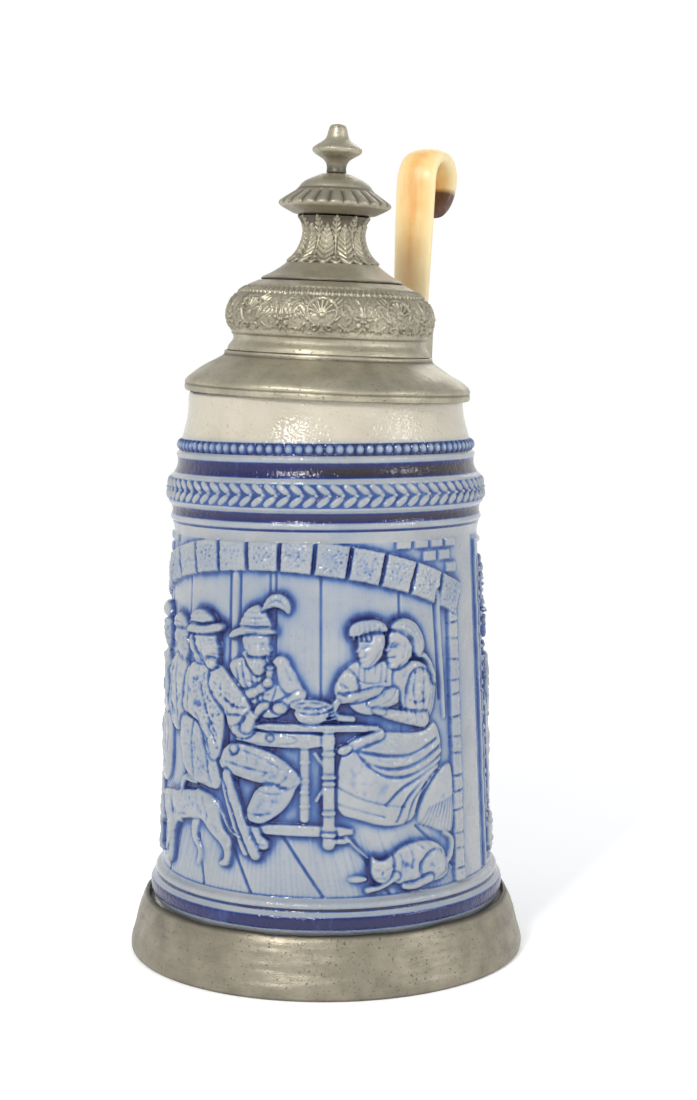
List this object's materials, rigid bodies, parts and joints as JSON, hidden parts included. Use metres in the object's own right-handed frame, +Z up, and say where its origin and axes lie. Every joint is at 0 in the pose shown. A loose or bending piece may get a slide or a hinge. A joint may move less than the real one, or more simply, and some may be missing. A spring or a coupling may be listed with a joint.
{
  "type": "beer stein",
  "caption": "Tall relief stoneware mug with a strap handle, pewter foot ring and a hinged, domed pewter lid lifted by a curled tusk.",
  "frame": {"origin": "centre of the mug's underside, on the table", "axes": "+Z up along the mug's axis, +Y towards the handle and the hinge, -Y towards the picture side"},
  "size_m": [0.1354, 0.1677, 0.28],
  "materials": {
    "stoneware": "grey salt-glazed stoneware with cobalt blue in the hollows",
    "pewter": "old dull pewter, dark in the hollows and brighter on the edges",
    "tusk": "polished tusk, cream at the edges, orange in the middle and dark brown at the tip",
    "plaster": "plain bedding plaster"
  },
  "bodies": {
    "mug": {"body": "stoneware", "handle": "stoneware", "base_ring": "pewter", "base_plaster": "plaster", "handle_strap": "pewter", "hinge_leaf": "pewter", "hinge_pin": "pewter", "hinge_caps": "pewter"},
    "lid": {"lid_flange": "pewter", "lid_band": "pewter", "lid_neck": "pewter", "lid_knob": "pewter", "finial": "pewter", "lid_tang": "pewter", "thumblift_socket": "pewter", "thumblift_tusk": "tusk", "thumblift_rivets": "pewter"}
  },
  "joints": [
    {"name": "lid_hinge", "type": "hinge", "parent": "mug", "child": "lid", "pos_m": [0.00067, 0.057, 0.193], "axis": [-0.9988, 0, 0.0489], "range_deg": [0, 95]}
  ]
}
